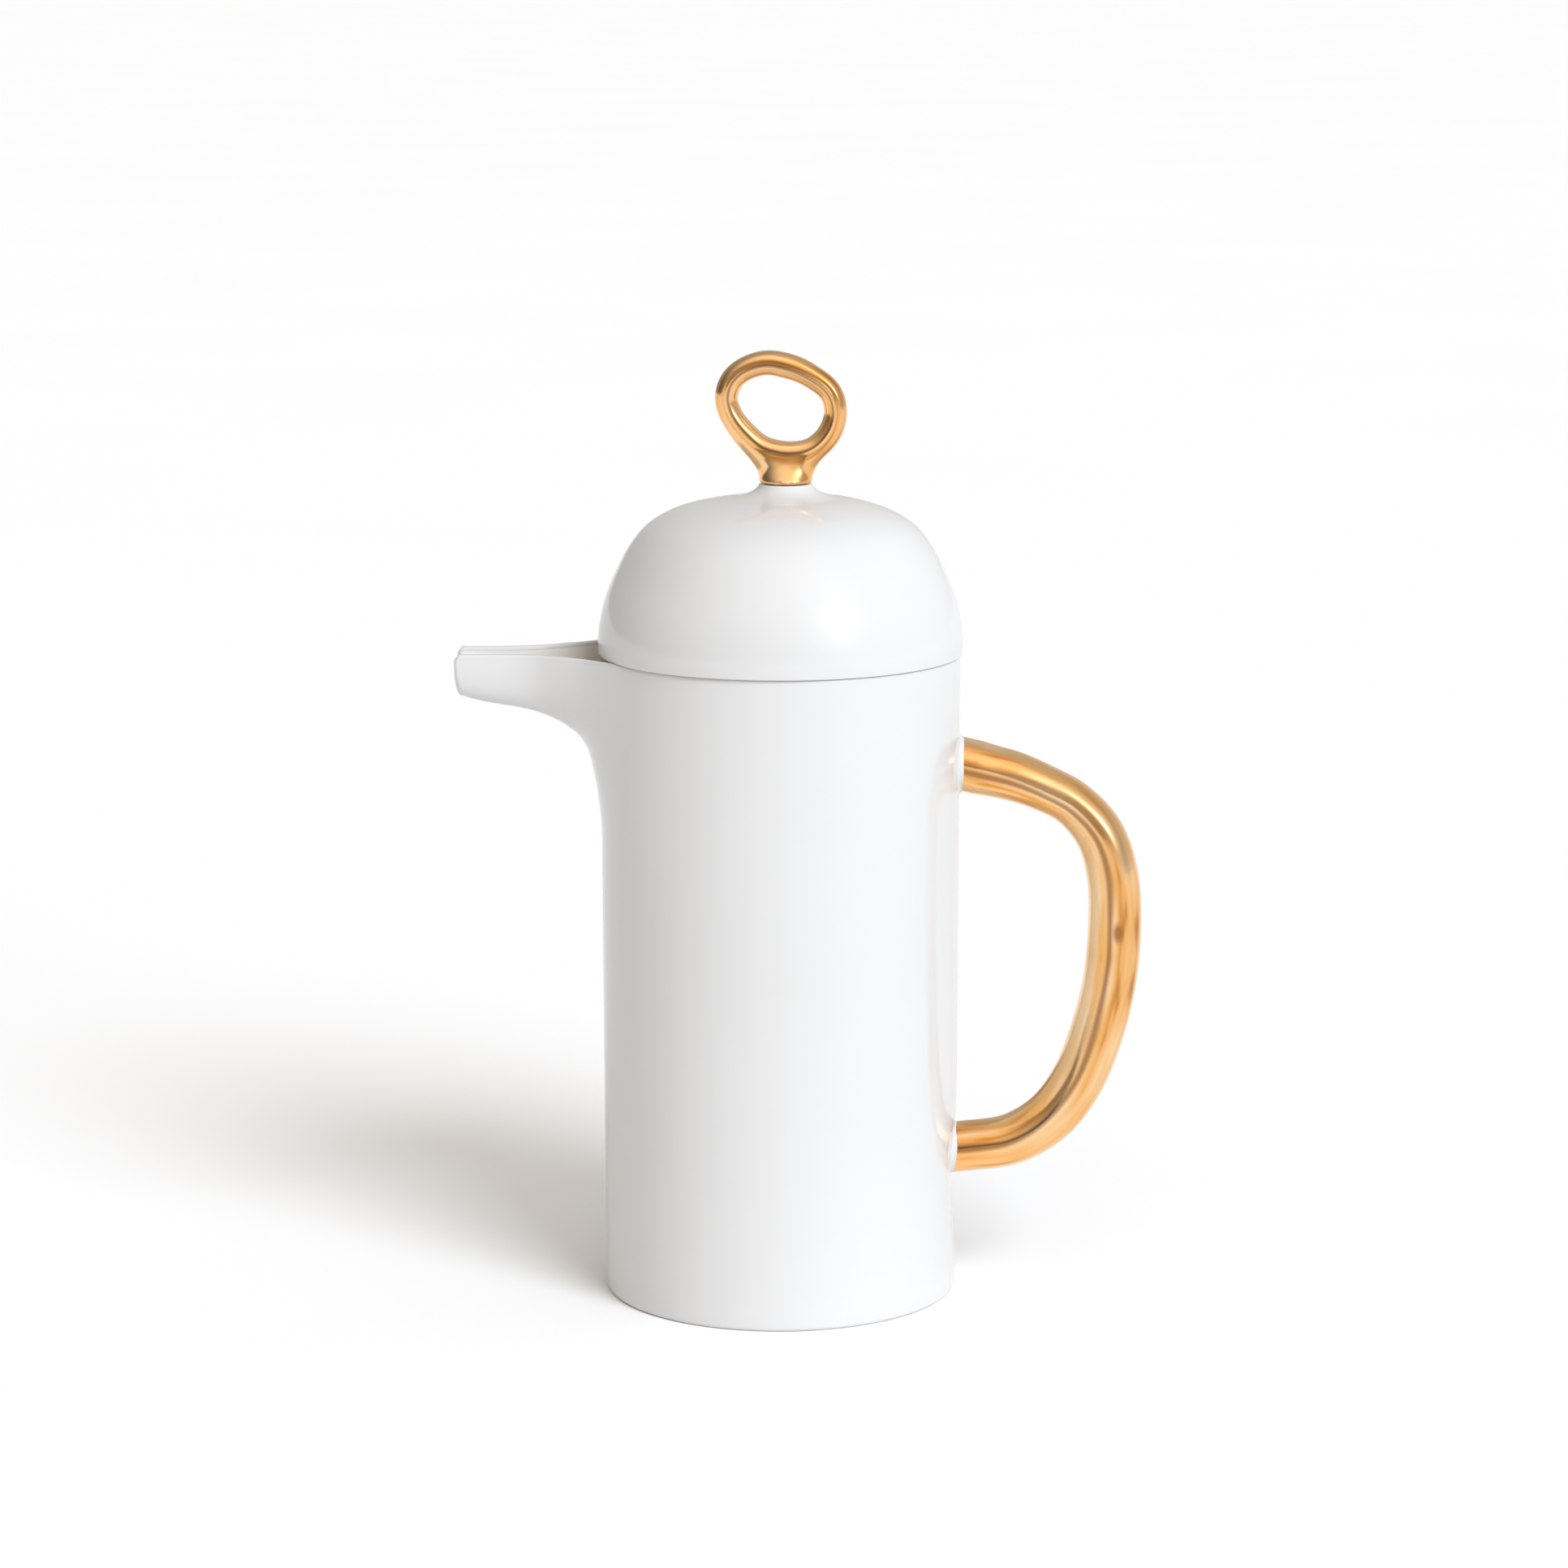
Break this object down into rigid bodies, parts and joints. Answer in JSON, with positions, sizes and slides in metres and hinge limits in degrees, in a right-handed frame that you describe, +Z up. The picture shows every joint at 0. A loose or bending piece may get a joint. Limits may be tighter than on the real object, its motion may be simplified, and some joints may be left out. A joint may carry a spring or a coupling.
{
  "type": "coffee pot",
  "caption": "Straight-sided china coffee pot with an open beak spout at the rim, a gold rod handle and a lift-off domed lid with a gold ring finial.",
  "frame": {"origin": "centre of the flat base, on the axis of the beaker, at the level that the pot stands on", "axes": "+Z up along the beaker's axis, -X towards the spout's tip, +X towards the handle"},
  "size_m": [0.1841, 0.0974, 0.254],
  "materials": {
    "porcelain": "clear gloss glaze over warm white fine china, slightly uneven as if shaped by hand",
    "gold_lustre": "fired bright gold lustre over glazed china, mirror-like with slight ripples"
  },
  "bodies": {
    "pot": {"pot_body": "porcelain", "spout": "porcelain", "handle_root_upper": "porcelain", "handle_root_lower": "porcelain", "handle_grip": "gold_lustre"},
    "lid": {"lid_dome": "porcelain", "lid_flange": "porcelain", "lid_neck": "porcelain", "finial_ring": "gold_lustre"}
  },
  "joints": [
    {"name": "lid_lift", "type": "slide", "parent": "pot", "child": "lid", "axis": [0, 0, 1], "range_m": [0, 0.12]}
  ]
}
